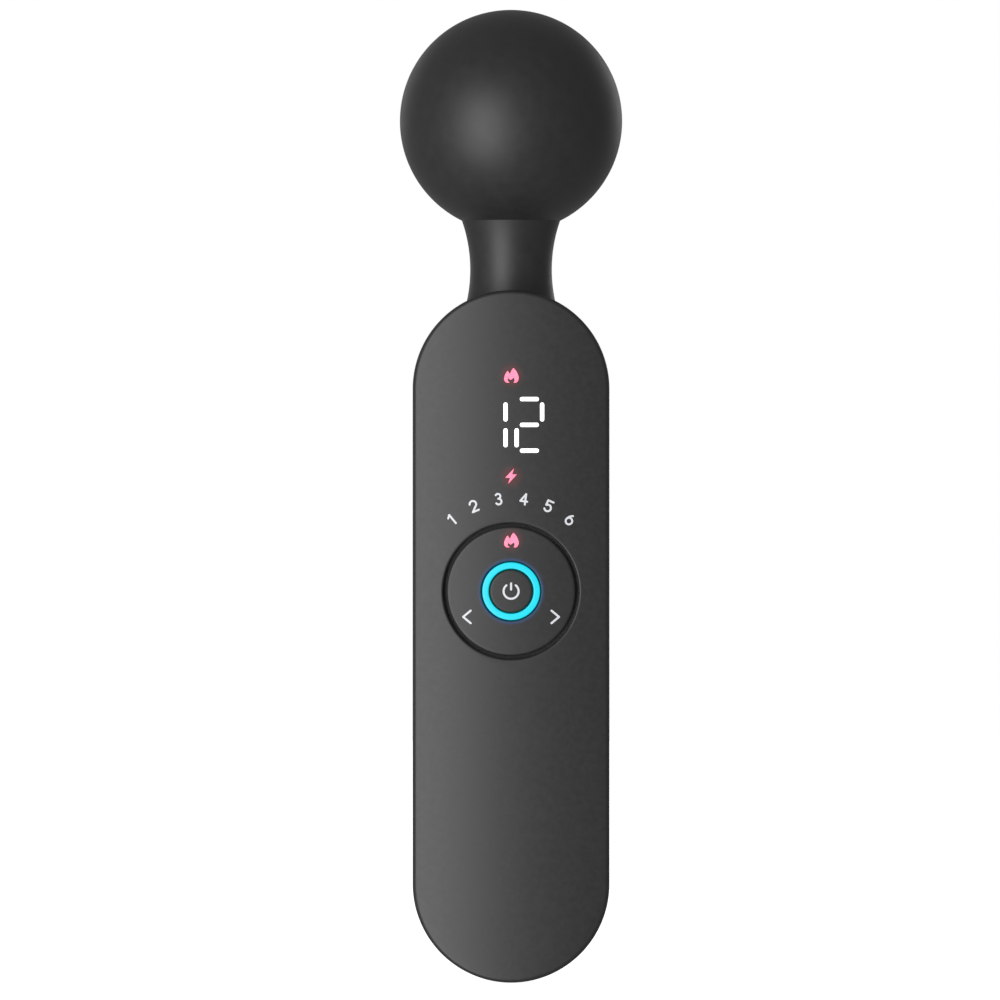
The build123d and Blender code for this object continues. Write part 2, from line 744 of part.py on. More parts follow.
with BuildPart() as level_baffle:
    with BuildSketch(front_plane(board_front)):
        with Locations((0, pad_z)):
            bow((0, 0), numeral_radius, 90 - numeral_angles[-1], 2 * numeral_angles[-1], baffle_width)
        with Locations(*numeral_places):
            Circle(baffle_width / 2 - baffle_wall, mode=Mode.SUBTRACT)
    extrude(amount=panel_back - board_front)
level_baffle.part.label = "level_baffle"
export_step(level_baffle.part, "parts/level_baffle.step")

# Self-tapping screws from the board's back into the panel's posts
with BuildPart() as board_screws:
    with BuildSketch(front_plane(board_back - screw_head_height)):
        with Locations(*boss_places):
            Circle(screw_head_radius)
    extrude(amount=screw_head_height)
    with BuildSketch(front_plane(board_back)):
        with Locations(*boss_places):
            Circle(thread_radius)
    extrude(amount=panel_back - board_back + screw_bite)
board_screws.part.label = "board_screws"
export_step(board_screws.part, "parts/board_screws.step")

with BuildPart() as battery_cell:
    with BuildSketch(Plane.XY.offset(battery_low_z)):
        with Locations((0, battery_back)):
            Circle(battery_radius)
    extrude(amount=battery_length)
    fillet(battery_cell.edges().group_by(Axis.Z)[-1], battery_round)
battery_cell.part.label = "battery_cell"
export_step(battery_cell.part, "parts/battery_cell.step")

# Half-round tray that holds the cell against the back wall
with BuildPart() as battery_cradle:
    with BuildSketch(Plane.XY.offset(battery_low_z + cradle_margin)):
        with Locations((0, battery_back)):
            Circle(battery_radius + cradle_clearance + cradle_wall)
            Circle(battery_radius + cradle_clearance, mode=Mode.SUBTRACT)
        with Locations((0, battery_back - reach / 2)):
            Rectangle(reach, reach, mode=Mode.SUBTRACT)
    extrude(amount=battery_length - 2 * cradle_margin)
battery_cradle.part.label = "battery_cradle"
export_step(battery_cradle.part, "parts/battery_cradle.step")

# Two leads from the cell's top to the board
with BuildPart() as battery_leads:
    for x in (-wire_x, wire_x):
        with BuildLine() as route:
            FilletPolyline(
                (x, battery_back, battery_high_z),
                (x, battery_back, battery_high_z + wire_rise),
                (x, -wire_knee, battery_high_z + wire_top),
                (x, -board_back, battery_high_z + wire_top),
                radius=wire_bend,
            )
        with BuildSketch(Plane.XY.offset(battery_high_z)):
            with Locations((x, battery_back)):
                Circle(wire_radius)
        sweep(path=route.wire())
battery_leads.part.label = "battery_leads"
export_step(battery_leads.part, "parts/battery_leads.step")

# ---------------------------------------------------------------- charging socket

with BuildPart() as charge_socket:
    with BuildSketch(Plane.XY.offset(socket_recess)):
        Circle(nose_radius)
    extrude(amount=socket_top_z - socket_recess)
    with BuildSketch(Plane.XY.offset(wall + socket_shoulder)):
        Rectangle(*socket_body)
    extrude(amount=socket_top_z - wall - socket_shoulder)
    with BuildSketch(Plane.XY.offset(socket_recess)):
        Circle(socket_bore)
    extrude(amount=socket_depth, mode=Mode.SUBTRACT)
charge_socket.part.label = "charge_socket"
export_step(charge_socket.part, "parts/charge_socket.step")

# ---------------------------------------------------------------- neck

# Lower half of the neck's core, screwed to the rear housing, with a socket for the ball
with BuildPart() as neck_base:
    with BuildSketch(Plane.XY.offset(base_low_z)):
        Rectangle(*base_plate)
    extrude(amount=base_plate_height)
    with BuildSketch(Plane.XY.offset(base_low_z)):
        Circle(core_radius)
    extrude(amount=pivot_z - socket_rim - base_low_z)
    with BuildSketch(Plane.XY.offset(sleeve_flange_z - collar_height)):
        Circle(collar_radius)
    extrude(amount=collar_height)
    with Locations((0, 0, pivot_z)):
        Sphere(ball_radius + ball_clearance, mode=Mode.SUBTRACT)
    with BuildSketch(Plane.XY.offset(base_low_z)):
        Circle(wire_hole)
    extrude(amount=pivot_z - base_low_z, mode=Mode.SUBTRACT)
    with BuildSketch(Plane.XZ.offset(base_plate[1] / 2)):
        with Locations(*neck_screw_places):
            Circle(neck_screw_thread + neck_screw_clearance)
    extrude(amount=-base_plate[1], mode=Mode.SUBTRACT)
neck_base.part.label = "neck_base"
export_step(neck_base.part, "parts/neck_base.step")

with BuildPart() as neck_screws:
    with BuildSketch(front_plane(base_plate[1] / 2)):
        with Locations(*neck_screw_places):
            Circle(neck_screw_head)
    extrude(amount=screw_head_height)
    with BuildSketch(front_plane(base_plate[1] / 2)):
        with Locations(*neck_screw_places):
            Circle(neck_screw_thread)
    extrude(amount=-base_plate[1] - neck_screw_bite)
neck_screws.part.label = "neck_screws"
export_step(neck_screws.part, "parts/neck_screws.step")

# Ball between the two sockets, bored for the motor's and heater's wires
with BuildPart() as neck_ball:
    with Locations((0, 0, pivot_z)):
        Sphere(ball_radius)
    with BuildSketch(Plane.XY.offset(pivot_z - ball_radius)):
        Circle(wire_hole)
    extrude(amount=2 * ball_radius, mode=Mode.SUBTRACT)
neck_ball.part.label = "neck_ball"
export_step(neck_ball.part, "parts/neck_ball.step")

# Upper half of the core, with the flange that the lower head shell sits on
with BuildPart() as neck_top:
    with BuildSketch(Plane.XY.offset(flange_low_z)):
        Circle(flange_radius)
    extrude(amount=flange_high_z - flange_low_z)
    with Locations((0, 0, head_z)):
        Sphere(shell_inner - inner_gap, mode=Mode.INTERSECT)
    with BuildSketch(Plane.XY.offset(pivot_z + socket_rim)):
        Circle(core_radius)
    extrude(amount=flange_high_z - pivot_z - socket_rim)
    with Locations((0, 0, pivot_z)):
        Sphere(ball_radius + ball_clearance, mode=Mode.SUBTRACT)
    with BuildSketch(Plane.XY.offset(pivot_z)):
        Circle(wire_hole)
    extrude(amount=flange_high_z - pivot_z, mode=Mode.SUBTRACT)
neck_top.part.label = "neck_top"
export_step(neck_top.part, "parts/neck_top.step")

# Silicone sleeve: an hourglass tube with a flange clamped under the shoulder
sleeve_high_z = crease_z - sleeve_seam
sleeve_low_radius = shoulder_hole - shoulder_clearance


def waist_z_at(radius, side):
    """Height at which the hourglass curve reaches a radius, above or below the waist."""
    rise = waist_curve - (radius - waist_radius)
    return waist_z + side * sqrt(waist_curve**2 - rise**2)


def waist_radius_at(z):
    """Radius of the hourglass curve at a height."""
    return waist_radius + waist_curve - sqrt(waist_curve**2 - (z - waist_z) ** 2)


with BuildPart() as neck_sleeve:
    with BuildSketch(Plane.XZ):
        with BuildLine():
            curve_start = (sleeve_low_radius, waist_z_at(sleeve_low_radius, -1))
            curve_end = (waist_radius_at(sleeve_high_z), sleeve_high_z)
            ThreePointArc(curve_start, (waist_radius, waist_z), curve_end)
            Polyline(
                curve_end,
                (sleeve_bore, sleeve_high_z),
                (sleeve_bore, sleeve_flange_z),
                (sleeve_flange_radius, sleeve_flange_z),
                (sleeve_flange_radius, sleeve_flange_top),
                (sleeve_low_radius, sleeve_flange_top),
                curve_start,
            )
        make_face()
    revolve(axis=Axis.Z)
neck_sleeve.part.label = "neck_sleeve"
export_step(neck_sleeve.part, "parts/neck_sleeve.step")

# ---------------------------------------------------------------- head

# Silicone ball, cut flat where the neck meets it
with BuildPart() as head_cover:
    with Locations((0, 0, head_z)):
        Sphere(head_radius)
    with BuildSketch(Plane.XY.offset(crease_z)):
        Rectangle(head_reach, head_reach)
    extrude(amount=-head_radius, mode=Mode.SUBTRACT)
    with Locations((0, 0, head_z)):
        Sphere(head_radius - cover_wall, mode=Mode.SUBTRACT)
    with BuildSketch(Plane.XY.offset(crease_z)):
        Circle(core_radius + neck_hole_gap)
    extrude(amount=head_radius, mode=Mode.SUBTRACT)
head_cover.part.label = "head_cover"
export_step(head_cover.part, "parts/head_cover.step")

# Heating film wrapped round the hard shell, under the silicone
film_inner = shell_radius + heater_gap
with BuildPart() as heater_film:
    with Locations((0, 0, head_z)):
        Sphere(film_inner + heater_thickness)
        Sphere(film_inner, mode=Mode.SUBTRACT)
    with BuildSketch(Plane.XY.offset(head_z - heater_drop)):
        Rectangle(head_reach, head_reach)
    extrude(amount=heater_height, mode=Mode.INTERSECT)
heater_film.part.label = "heater_film"
export_step(heater_film.part, "parts/heater_film.step")

# Hard shell, lower half, with posts for the motor cradle's screws
with BuildPart() as cradle_posts:
    with BuildSketch(Plane.XY.offset(head_z - head_radius)):
        with PolarLocations(cradle_screw_circle, 3):
            Circle(post_radius)
    extrude(amount=cradle_low_z - head_z + head_radius)
    with Locations((0, 0, head_z)):
        Sphere(shell_radius - shell_wall / 2, mode=Mode.INTERSECT)

with BuildPart() as head_shell_lower:
    with Locations((0, 0, head_z)):
        Sphere(shell_radius)
        Sphere(shell_inner, mode=Mode.SUBTRACT)
    with BuildSketch(Plane.XY.offset(head_z)):
        Rectangle(head_reach, head_reach)
    extrude(amount=head_radius, mode=Mode.SUBTRACT)
    add(cradle_posts.part)
    with BuildSketch(Plane.XY.offset(head_z - head_radius)):
        Circle(core_radius + neck_hole_gap)
    extrude(amount=head_radius / 2, mode=Mode.SUBTRACT)
    with BuildSketch(Plane.XY.offset(cradle_low_z)):
        with PolarLocations(cradle_screw_circle, 3):
            Circle(thread_radius)
    extrude(amount=-post_hole_depth, mode=Mode.SUBTRACT)
head_shell_lower.part.label = "head_shell_lower"
export_step(head_shell_lower.part, "parts/head_shell_lower.step")

# Upper half, with a lip that drops inside the lower half
with BuildPart() as head_shell_upper:
    with Locations((0, 0, head_z)):
        Sphere(shell_radius)
        Sphere(shell_inner, mode=Mode.SUBTRACT)
    with BuildSketch(Plane.XY.offset(head_z)):
        Rectangle(head_reach, head_reach)
    extrude(amount=-head_radius, mode=Mode.SUBTRACT)
    with BuildSketch(Plane.XY.offset(head_z - shell_lip)):
        Circle(shell_inner - inner_gap)
        Circle(shell_inner - shell_lip, mode=Mode.SUBTRACT)
    extrude(amount=shell_lip_root + shell_lip)
head_shell_upper.part.label = "head_shell_upper"
export_step(head_shell_upper.part, "parts/head_shell_upper.step")

# Spoked plate that grips the motor
with BuildPart() as motor_cradle:
    with BuildSketch(Plane.XY.offset(cradle_low_z)):
        Circle(shell_inner - cradle_edge)
        Circle(motor_radius + inner_gap, mode=Mode.SUBTRACT)
        with PolarLocations(cradle_screw_circle, 3):
            Circle(thread_radius + screw_clearance, mode=Mode.SUBTRACT)
        with PolarLocations(cradle_screw_circle, 3, start_angle=60):
            Circle(cradle_window, mode=Mode.SUBTRACT)
    extrude(amount=cradle_height)
motor_cradle.part.label = "motor_cradle"
export_step(motor_cradle.part, "parts/motor_cradle.step")

with BuildPart() as cradle_screws:
    with BuildSketch(Plane.XY.offset(cradle_high_z)):
        with PolarLocations(cradle_screw_circle, 3):
            Circle(screw_head_radius)
    extrude(amount=screw_head_height)
    with BuildSketch(Plane.XY.offset(cradle_high_z)):
        with PolarLocations(cradle_screw_circle, 3):
            Circle(thread_radius)
    extrude(amount=-cradle_height - cradle_screw_bite)
cradle_screws.part.label = "cradle_screws"
export_step(cradle_screws.part, "parts/cradle_screws.step")

with BuildPart() as motor_can:
    with BuildSketch(Plane.XY.offset(motor_low_z)):
        Circle(motor_radius)
    extrude(amount=motor_length)
    fillet(motor_can.edges().group_by(Axis.Z)[-1], motor_round)
    with BuildSketch(Plane.XY.offset(motor_high_z)):
        Circle(motor_nose_radius)
    extrude(amount=motor_nose)
    with BuildSketch(Plane.XY.offset(shaft_low_z - shaft_end_gap)):
        Circle(shaft_radius + bearing_clearance)
    extrude(amount=motor_length, mode=Mode.SUBTRACT)
motor_can.part.label = "motor_can"
export_step(motor_can.part, "parts/motor_can.step")

with BuildPart() as motor_shaft:
    with BuildSketch(Plane.XY.offset(shaft_low_z)):
        Circle(shaft_radius)
    extrude(amount=shaft_high_z - shaft_low_z)
motor_shaft.part.label = "motor_shaft"
export_step(motor_shaft.part, "parts/motor_shaft.step")

# Off-centre weight pressed on the shaft, which makes the head vibrate
with BuildPart() as eccentric_weight:
    with BuildSketch(Plane.XY.offset(weight_low_z)):
        Circle(weight_radius)
        with Locations((-weight_radius, 0)):
            Rectangle(2 * weight_radius, head_reach, mode=Mode.SUBTRACT)
        Circle(weight_hub)
        Circle(shaft_radius, mode=Mode.SUBTRACT)
    extrude(amount=weight_height)
eccentric_weight.part.label = "eccentric_weight"
export_step(eccentric_weight.part, "parts/eccentric_weight.step")

# Temperature sensor, glued inside the top of the shell
with BuildPart() as thermistor:
    with BuildSketch(Plane.XY.offset(head_z + shell_inner - thermistor_gap - thermistor_height)):
        Circle(thermistor_radius)
    extrude(amount=thermistor_height)
thermistor.part.label = "thermistor"
export_step(thermistor.part, "parts/thermistor.step")
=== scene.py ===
import json

import bmesh
import bpy
import numpy as np
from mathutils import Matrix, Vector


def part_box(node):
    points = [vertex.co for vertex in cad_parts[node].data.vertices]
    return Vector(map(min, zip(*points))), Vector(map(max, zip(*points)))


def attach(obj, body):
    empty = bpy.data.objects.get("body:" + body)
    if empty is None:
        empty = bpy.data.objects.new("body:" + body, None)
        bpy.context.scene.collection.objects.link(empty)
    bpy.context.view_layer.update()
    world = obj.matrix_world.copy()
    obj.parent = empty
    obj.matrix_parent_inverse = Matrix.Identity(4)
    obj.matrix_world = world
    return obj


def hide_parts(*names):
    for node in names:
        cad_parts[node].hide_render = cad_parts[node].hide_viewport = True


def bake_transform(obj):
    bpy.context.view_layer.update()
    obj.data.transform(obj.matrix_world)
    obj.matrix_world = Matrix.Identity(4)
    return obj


# Handheld wand massager. Metres, in the frame's own axes: +Z up the wand, -Y out of the
# front face, +X to the right of someone who faces it.

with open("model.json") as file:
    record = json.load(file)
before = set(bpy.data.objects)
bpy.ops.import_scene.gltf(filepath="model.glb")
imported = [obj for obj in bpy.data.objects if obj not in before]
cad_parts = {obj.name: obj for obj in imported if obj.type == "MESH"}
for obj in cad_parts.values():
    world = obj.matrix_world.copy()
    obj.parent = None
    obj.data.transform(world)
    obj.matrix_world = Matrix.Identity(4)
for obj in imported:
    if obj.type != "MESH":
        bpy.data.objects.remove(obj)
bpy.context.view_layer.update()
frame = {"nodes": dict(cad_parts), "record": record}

MM = 0.001

# ---------------------------------------------------------------- sizes, from the frame

face_low, face_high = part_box("front_panel")
back_low, back_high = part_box("rear_housing")
pad_low, pad_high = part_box("control_pad")
_, ring_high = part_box("light_ring")
_, button_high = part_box("power_button")
ball_low, ball_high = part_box("head_cover")
sleeve_low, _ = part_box("neck_sleeve")

half_width = face_high.x
handle_length = face_high.z
front_reach = -face_low.y
face_skirt = -face_high.y            # parting edge of the front shell
back_skirt = -back_low.y             # parting edge of the rear shell
back_reach = back_high.y
pad_z = (pad_low.z + pad_high.z) / 2
pad_radius = pad_high.x
ring_outer = ring_high.x
button_radius = button_high.x
ball_radius = ball_high.x
ball_z = ball_high.z - ball_radius
crease_z = ball_low.z

# Sizes that the boxes don't give.
pivot_z = 150.0 * MM                 # the neck's two hinges cross here

sign_proud = 0.02 * MM               # how far the lit signs stand out of the skins
sign_half = 1.55 * MM                # about half the height of a sign above or below the digits
wall = 2.0 * MM
face_crown = 2.2 * MM                # fall of the front face towards its long edges
face_round = 0.9 * MM
face_back = 12.0 * MM                # inner face of the front shell
back_round = 11.0 * MM
seam_bevel = 0.25 * MM
pad_groove = 0.7 * MM
pad_lip = 0.45 * MM                  # round of the pad's opening
pad_edge = 0.45 * MM                 # round of the pad's outer edge
pad_hole_edge = 0.15 * MM            # round of the pad's inner edge
pad_depth = 1.5 * MM
part_gap = 0.3 * MM                  # between the pad and the light ring
ring_inner = 4.67 * MM
ring_dome = 0.12 * MM
ring_depth = 5.0 * MM
button_edge = 0.2 * MM
button_depth = 2.5 * MM
seal_inset = (0.5 * MM, 1.4 * MM)
shoulder_hole = 9.95 * MM
shoulder_clearance = 0.2 * MM
nose_hole = 2.5 * MM
nose_ends = (-5.0 * MM, 12.0 * MM)   # heights between which the tail is opened
waist_z = 148.3 * MM
waist_radius = 8.52 * MM
sleeve_bore = 6.9 * MM
ball_wall = 2.2 * MM

crown_radius = (half_width**2 + face_crown**2) / (2 * face_crown)
crease_radius = (ball_radius**2 - (ball_z - crease_z) ** 2) ** 0.5
waist_flare = crease_radius - waist_radius
waist_curve = ((crease_z - waist_z) ** 2 + waist_flare**2) / (2 * waist_flare)

same_point = 1e-7                    # points nearer than this are one

# ---------------------------------------------------------------- grids and profiles


def join_grid(name, points, wrap_rows=False):
    """Piece from a grid of points, rows by columns; columns always close on themselves.

    Each cell of the grid is a four-sided face. Points that fall together, as at a pole,
    become one.
    """
    rows, columns = points.shape[:2]
    index = np.arange(rows * columns).reshape(rows, columns)
    index = np.hstack([index, index[:, :1]])
    if wrap_rows:
        index = np.vstack([index, index[:1]])
    corners = [index[:-1, :-1], index[:-1, 1:], index[1:, 1:], index[1:, :-1]]
    quads = np.stack(corners, axis=-1).reshape(-1, 4)
    mesh = bpy.data.meshes.new(name)
    mesh.from_pydata(points.reshape(-1, 3).tolist(), [], quads.tolist())
    tidy = bmesh.new()
    tidy.from_mesh(mesh)
    bmesh.ops.remove_doubles(tidy, verts=tidy.verts, dist=same_point)
    bmesh.ops.recalc_face_normals(tidy, faces=tidy.faces)
    tidy.to_mesh(mesh)
    tidy.free()
    piece = bpy.data.objects.new(name, mesh)
    bpy.context.scene.collection.objects.link(piece)
    smooth(piece)
    return piece


def smooth(piece, crease_deg=32):
    """Smooth shading, with a hard edge wherever two faces turn by more than this."""
    piece.data.shade_smooth()
    piece.data.set_sharp_from_angle(angle=np.radians(crease_deg))


def arc(centre, radius, start_deg, end_deg, count):
    """Points of a circular arc: centre + radius (cos a, sin a), a in equal steps."""
    angle = np.radians(np.linspace(start_deg, end_deg, count))
    return np.stack([centre[0] + radius * np.cos(angle), centre[1] + radius * np.sin(angle)], -1)


def line(start, end, count):
    """Points of a straight run in equal steps."""
    share = np.linspace(0, 1, count)[:, None]
    return np.array(start) * (1 - share) + np.array(end) * share


def turn_about_z(name, profile, around=256):
    """Profile of (radius, height) carried round the wand's axis.

    Point = (radius cos a, radius sin a, height).
    """
    angle = np.linspace(0, 2 * np.pi, around, endpoint=False)
    radius, height = profile[:, 0, None], profile[:, 1, None]
    flat = np.ones_like(angle)[None]
    grid = np.stack([radius * np.cos(angle), radius * np.sin(angle), height * flat], -1)
    return join_grid(name, grid, wrap_rows=profile[0, 0] > 0)


def crown_drop(x):
    """Fall of the crowned front at a distance x from its middle: R - sqrt(R^2 - x^2)."""
    return crown_radius - np.sqrt(crown_radius**2 - x**2)


def turn_on_face(name, profile, around=256):
    """Profile of (radius, depth) carried round the pad's centre and laid on the crown.

    Point = (radius cos a, depth - reach + fall(x), pad height + radius sin a). The last
    two rows are the piece's back, which is flat: there the fall is left out.
    """
    angle = np.linspace(0, 2 * np.pi, around, endpoint=False)
    radius, depth = profile[:, 0, None], profile[:, 1, None]
    x = radius * np.cos(angle)
    z = pad_z + radius * np.sin(angle)
    fall = crown_drop(x)
    fall[-2:] = 0
    grid = np.stack([x, depth - front_reach + fall, z], -1)
    return join_grid(name, grid, wrap_rows=profile[0, 0] > 0)


def outline(count=720):
    """The handle's outline seen from the front, in equal steps of its length.

    Two half circles joined by straight sides. Gives places (x, z) and unit vectors that
    point inwards.
    """
    straight = handle_length - 2 * half_width
    bend = np.pi * half_width
    run = np.linspace(0, 2 * (straight + bend), count, endpoint=False)
    right = run < straight
    top = (run >= straight) & (run < straight + bend)
    left = (run >= straight + bend) & (run < 2 * straight + bend)
    angle = np.where(top, (run - straight) / half_width, (run - 2 * straight) / half_width)
    angle = np.where(right, 0, np.where(left, np.pi, angle))
    centre_z = np.where(right, half_width + run, handle_length - half_width)
    centre_z = np.where(left, handle_length - half_width - (run - straight - bend), centre_z)
    centre_z = np.where(right | top | left, centre_z, half_width)
    out = np.stack([np.cos(angle), np.sin(angle)], -1)
    place = half_width * out + np.stack([np.zeros(count), centre_z], -1)
    return place, -out


def shell_rows(profile):
    """Rows of points that follow the handle's outline.

    Each profile point is (inset, y): place = outline + inset * inward, at that y.
    """
    place, inward = outline()
    flat = place[None] + profile[:, 0, None, None] * inward[None]
    y = np.broadcast_to(profile[:, 1, None], flat.shape[:2])
    return np.stack([flat[..., 0], y, flat[..., 1]], -1)


# ---------------------------------------------------------------- materials

RED = (0.55, 0.012, 0.035)
BLUE = (0.0, 0.06, 0.22)
guide_body = (0.004, 0.02, 0.03)     # the light guide's own colour
guide_edge = (0.0, 0.22, 0.40)       # its light at both edges
noise_span = (0.25, 0.75)            # where most of a noise's values lie
tint_stops = (0.3, 0.7)              # where a mottled colour is fully dark and fully light
grain_height = 0.02 * MM

# Light that bleeds into the skin: full up to the first distance, gone at the second, and
# its colour and strength.
flame_light = (0.8 * MM, 3.4 * MM, RED, 0.11)
bolt_light = (0.6 * MM, 3.2 * MM, RED, 0.11)
ring_light = (ring_outer, ring_outer + 1.3 * MM, BLUE, 0.7)


def coordinates(nodes):
    """The piece's own coordinates."""
    return nodes.new("ShaderNodeTexCoord").outputs["Object"]


def grain(nodes, links, scale, detail=3.0, rough=0.55):
    """Noise of this many lumps per metre, on the piece's own coordinates."""
    noise = nodes.new("ShaderNodeTexNoise")
    noise.inputs["Scale"].default_value = scale
    noise.inputs["Detail"].default_value = detail
    noise.inputs["Roughness"].default_value = rough
    links.new(coordinates(nodes), noise.inputs["Vector"])
    return noise.outputs["Fac"]


def spread(nodes, links, value, low, high):
    """A noise's values spread between two limits."""
    ranged = nodes.new("ShaderNodeMapRange")
    ranged.inputs["From Min"].default_value = noise_span[0]
    ranged.inputs["From Max"].default_value = noise_span[1]
    ranged.inputs["To Min"].default_value = low
    ranged.inputs["To Max"].default_value = high
    links.new(value, ranged.inputs["Value"])
    return ranged.outputs["Result"]


def tint(nodes, links, value, dark, light):
    """A noise's values as a colour between two."""
    ramp = nodes.new("ShaderNodeValToRGB")
    for stop, place, colour in zip(ramp.color_ramp.elements, tint_stops, (dark, light)):
        stop.position = place
        stop.color = (*colour, 1)
    links.new(value, ramp.inputs["Fac"])
    return ramp.outputs["Color"]


def surface(
    name, colour, roughness, lump=900, fine=9000, relief=0.2, vary=0.12, waver=0.03, **constants,
):
    """Base finish: mottled colour and roughness on a broad lump, relief on a fine grain."""
    material = bpy.data.materials.new(name)
    material.use_nodes = True
    nodes, links = material.node_tree.nodes, material.node_tree.links
    shader = nodes["Principled BSDF"]
    broad = grain(nodes, links, lump)
    dark = tuple(c * (1 - vary) for c in colour)
    light = tuple(min(1, c * (1 + vary)) for c in colour)
    links.new(tint(nodes, links, broad, dark, light), shader.inputs["Base Color"])
    mottle = spread(nodes, links, broad, roughness - waver, roughness + waver)
    links.new(mottle, shader.inputs["Roughness"])
    bump = nodes.new("ShaderNodeBump")
    bump.inputs["Strength"].default_value = relief
    bump.inputs["Distance"].default_value = grain_height
    links.new(grain(nodes, links, fine, detail=2.0), bump.inputs["Height"])
    links.new(bump.outputs["Normal"], shader.inputs["Normal"])
    for socket, value in constants.items():
        shader.inputs[socket.replace("_", " ")].default_value = value
    return material


def distance_from(nodes, links, centre):
    """Distance from an upright line through (x, z), on the piece's own coordinates."""
    mapping = nodes.new("ShaderNodeMapping")
    mapping.inputs["Location"].default_value = (-centre[0], 0, -centre[1])
    mapping.inputs["Scale"].default_value = (1, 0, 1)
    links.new(coordinates(nodes), mapping.inputs["Vector"])
    length = nodes.new("ShaderNodeVectorMath")
    length.operation = "LENGTH"
    links.new(mapping.outputs["Vector"], length.inputs[0])
    return length.outputs["Value"]


def halo(nodes, links, centre, start, reach, colour, strength):
    """Light that bleeds into the skin round a lit sign.

    Full at the start distance, fading smoothly to nothing at the reach. Gives an
    emission colour.
    """
    fall = nodes.new("ShaderNodeMapRange")
    fall.interpolation_type = "SMOOTHERSTEP"
    fall.inputs["From Min"].default_value = start
    fall.inputs["From Max"].default_value = reach
    fall.inputs["To Min"].default_value = strength
    fall.inputs["To Max"].default_value = 0.0
    links.new(distance_from(nodes, links, centre), fall.inputs["Value"])
    glow = nodes.new("ShaderNodeVectorMath")
    glow.operation = "SCALE"
    glow.inputs[0].default_value = colour
    links.new(fall.outputs["Result"], glow.inputs["Scale"])
    return glow.outputs["Vector"]


def add_halos(material, halos):
    """Adds the bleeding light of several signs to a skin."""
    nodes, links = material.node_tree.nodes, material.node_tree.links
    total = None
    for centre, start, reach, colour, strength in halos:
        glow = halo(nodes, links, centre, start, reach, colour, strength)
        if total is not None:
            both = nodes.new("ShaderNodeVectorMath")
            both.operation = "ADD"
            links.new(total, both.inputs[0])
            links.new(glow, both.inputs[1])
            glow = both.outputs["Vector"]
        total = glow
    shader = nodes["Principled BSDF"]
    links.new(total, shader.inputs["Emission Color"])
    shader.inputs["Emission Strength"].default_value = 1.0


def lamp(name, deep, bright, strength, lump=2500):
    """A lit window: faintly uneven light behind a satin face."""
    material = bpy.data.materials.new(name)
    material.use_nodes = True
    nodes, links = material.node_tree.nodes, material.node_tree.links
    shader = nodes["Principled BSDF"]
    shader.inputs["Base Color"].default_value = (*deep, 1)
    shader.inputs["Roughness"].default_value = 0.4
    colour = tint(nodes, links, grain(nodes, links, lump), deep, bright)
    links.new(colour, shader.inputs["Emission Color"])
    shader.inputs["Emission Strength"].default_value = strength
    return material


def light_guide(name, deep, bright, rim):
    """Glowing ring: bright along its middle, deep-coloured at both edges."""
    material = lamp(name, deep, bright, 1.0)
    nodes, links = material.node_tree.nodes, material.node_tree.links
    shader = nodes["Principled BSDF"]
    shader.inputs["Base Color"].default_value = (*guide_body, 1)
    across = nodes.new("ShaderNodeMapRange")
    across.inputs["From Min"].default_value = ring_inner
    across.inputs["From Max"].default_value = ring_outer
    links.new(distance_from(nodes, links, (0, pad_z)), across.inputs["Value"])
    band = nodes.new("ShaderNodeValToRGB")
    stops = band.color_ramp.elements
    share = rim / (ring_outer - ring_inner)
    for place in (share, 1 - share):
        stops.new(place).color = (1, 1, 1, 1)
    for end in (stops[0], stops[-1]):
        end.color = (0, 0, 0, 1)
    links.new(across.outputs["Result"], band.inputs["Fac"])
    mix = nodes.new("ShaderNodeMix")
    mix.data_type = "RGBA"
    mix.inputs["A"].default_value = (*guide_edge, 1)
    links.new(band.outputs["Color"], mix.inputs["Factor"])
    glow = shader.inputs["Emission Color"].links[0].from_socket
    links.new(glow, mix.inputs["B"])
    links.new(mix.outputs["Result"], shader.inputs["Emission Color"])
    return material


finish = {
    "soft_touch_panel": surface("soft_touch_panel", (0.021, 0.021, 0.021), 0.45),
    "soft_touch_pad": surface("soft_touch_pad", (0.020, 0.020, 0.021), 0.45),
    "satin_housing": surface("satin_housing", (0.024, 0.024, 0.024), 0.5, relief=0.3),
    "button_top": surface("button_top", (0.020, 0.020, 0.021), 0.45),
    "seal_rubber": surface("seal_rubber", (0.008, 0.008, 0.008), 0.8),
    "black_silicone": surface(
        "black_silicone", (0.020, 0.020, 0.020), 0.5, lump=400, fine=6000, relief=0.15,
        Sheen_Weight=0.05, Sheen_Roughness=0.35,
    ),
    "white_light": lamp("white_light", (0.9, 0.9, 0.9), (1, 1, 1), 0.95),
    "grey_white_print": lamp("grey_white_print", (0.38, 0.39, 0.41), (0.48, 0.49, 0.51), 0.85),
    "red_light": lamp("red_light", (0.86, 0.14, 0.24), (0.95, 0.30, 0.42), 0.9),
    "cyan_light": light_guide("cyan_light", (0.0, 0.72, 0.86), (0.0, 0.80, 0.96), 0.10 * MM),
    "inner_black_plastic": surface("inner_black_plastic", (0.03, 0.03, 0.03), 0.45, fine=4000),
    "milky_plastic": surface("milky_plastic", (0.8, 0.8, 0.76), 0.4),
    "board_green": surface("board_green", (0.02, 0.16, 0.06), 0.35, lump=300),
    "bright_steel": surface("bright_steel", (0.62, 0.62, 0.61), 0.28, Metallic=1.0),
    "battery_wrap": surface("battery_wrap", (0.03, 0.1, 0.32), 0.3, lump=200),
    "lead_insulation": surface("lead_insulation", (0.45, 0.02, 0.02), 0.45),
    "copper_film": surface("copper_film", (0.75, 0.36, 0.18), 0.35, Metallic=1.0),
    "heavy_metal": surface("heavy_metal", (0.32, 0.32, 0.33), 0.5, Metallic=1.0),
}
